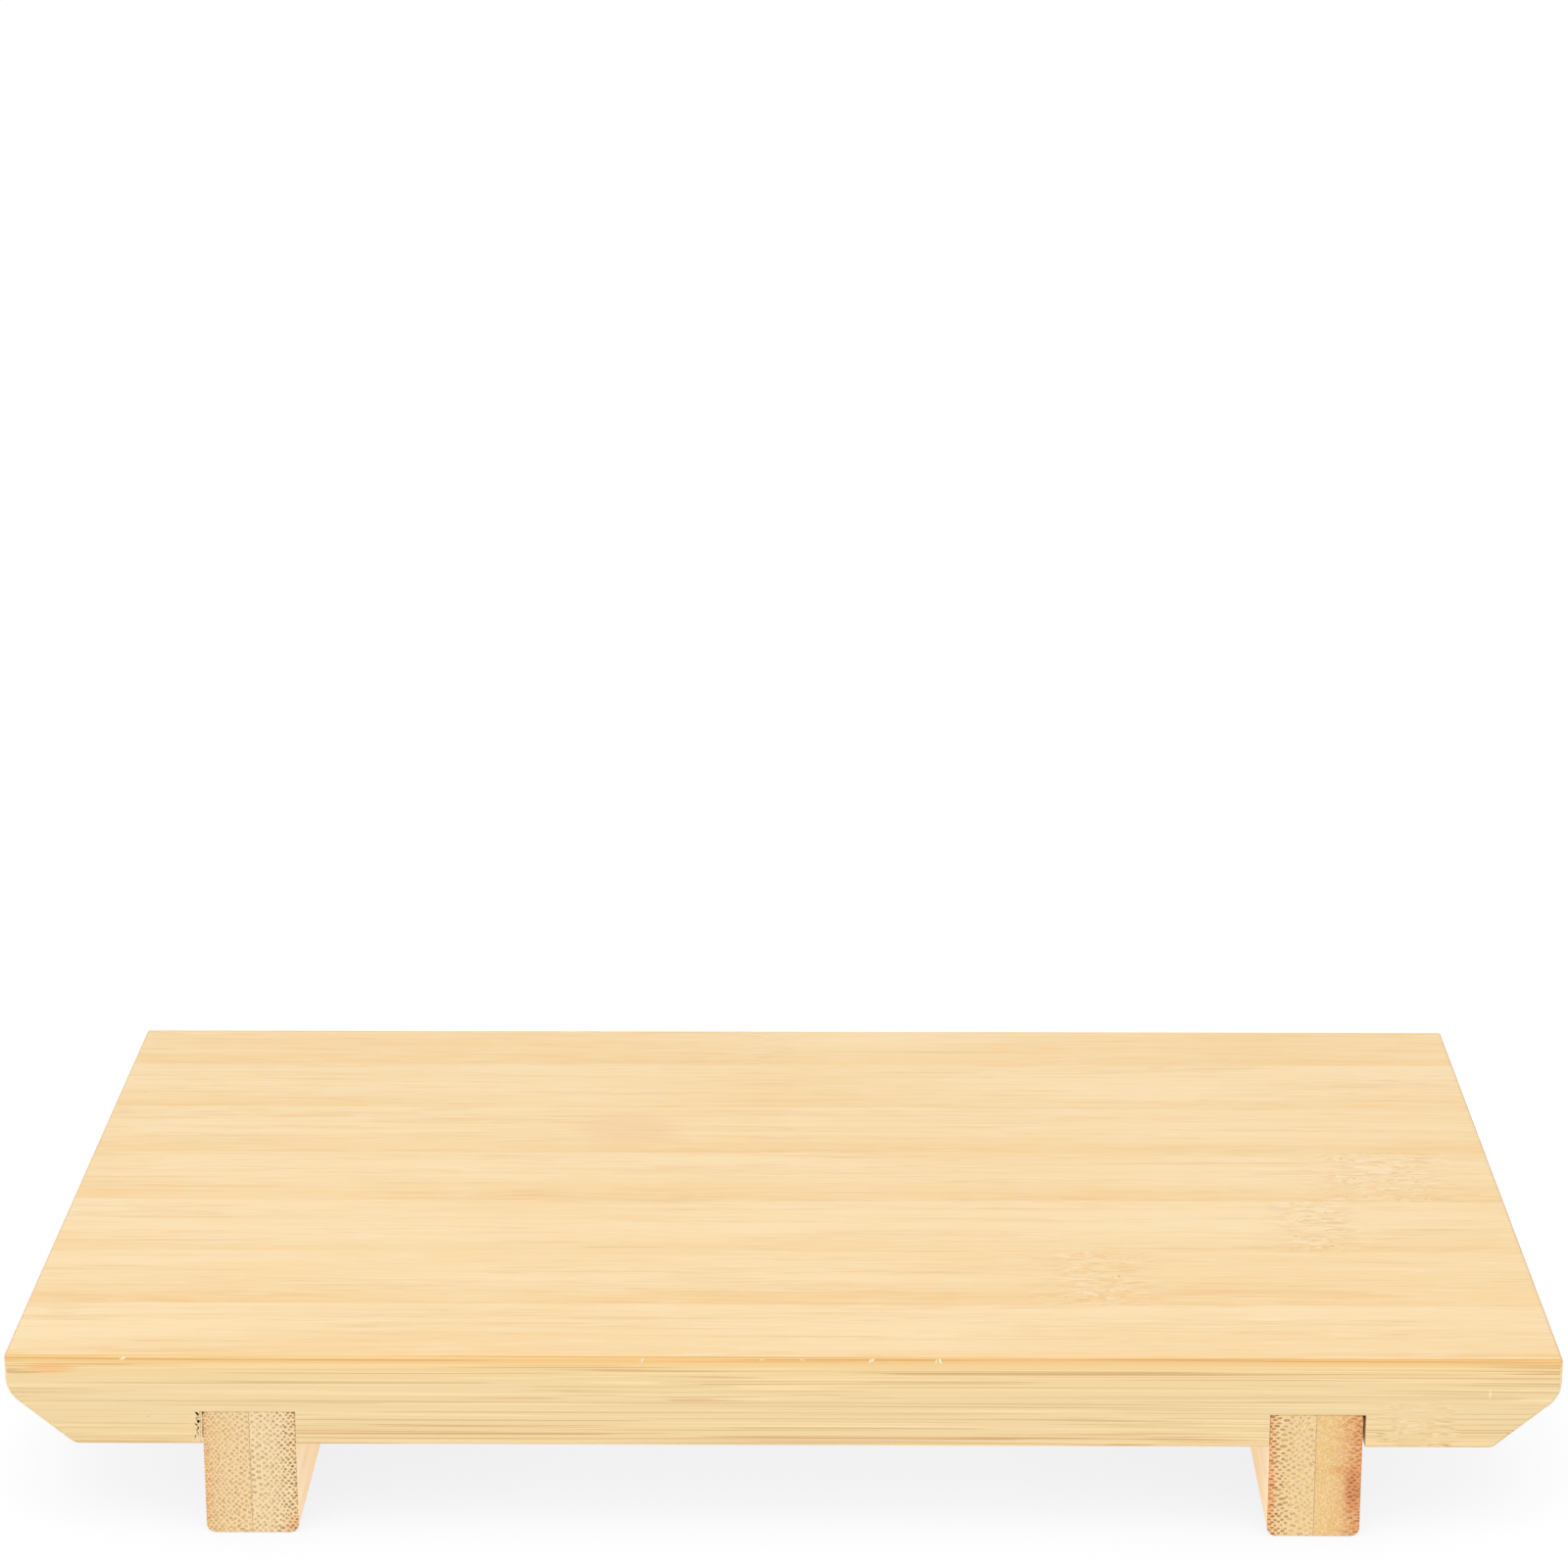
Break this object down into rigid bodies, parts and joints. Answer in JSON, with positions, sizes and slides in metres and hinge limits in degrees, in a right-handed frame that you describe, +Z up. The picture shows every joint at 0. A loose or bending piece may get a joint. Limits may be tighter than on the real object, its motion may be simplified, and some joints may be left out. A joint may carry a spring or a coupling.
{
  "type": "sushi geta board",
  "caption": "Raised serving board of pressed bamboo: a flat deck with bevelled ends on two straight legs housed in grooves across its underside.",
  "frame": {"origin": "on the table under the middle of the board, at the bottom centre of its box", "axes": "+X to the right along the deck's length, +Y from the front edge to the back edge, +Z up"},
  "size_m": [0.24, 0.15, 0.03],
  "materials": {
    "deck_bamboo": "sanded bamboo, satin, grain from end to end",
    "leg_bamboo": "sanded bamboo, matt, grain from front to back"
  },
  "bodies": {
    "root": {"top_strip_1": "deck_bamboo", "top_strip_2": "deck_bamboo", "top_strip_3": "deck_bamboo", "top_strip_4": "deck_bamboo", "top_strip_5": "deck_bamboo", "top_strip_6": "deck_bamboo", "top_strip_7": "deck_bamboo", "bottom_strip_1": "deck_bamboo", "bottom_strip_2": "deck_bamboo", "bottom_strip_3": "deck_bamboo", "bottom_strip_4": "deck_bamboo", "bottom_strip_5": "deck_bamboo", "bottom_strip_6": "deck_bamboo", "bottom_strip_7": "deck_bamboo", "bottom_strip_8": "deck_bamboo", "left_leg_inner_strip": "leg_bamboo", "left_leg_outer_strip": "leg_bamboo", "right_leg_inner_strip": "leg_bamboo", "right_leg_outer_strip": "leg_bamboo"}
  },
  "joints": []
}
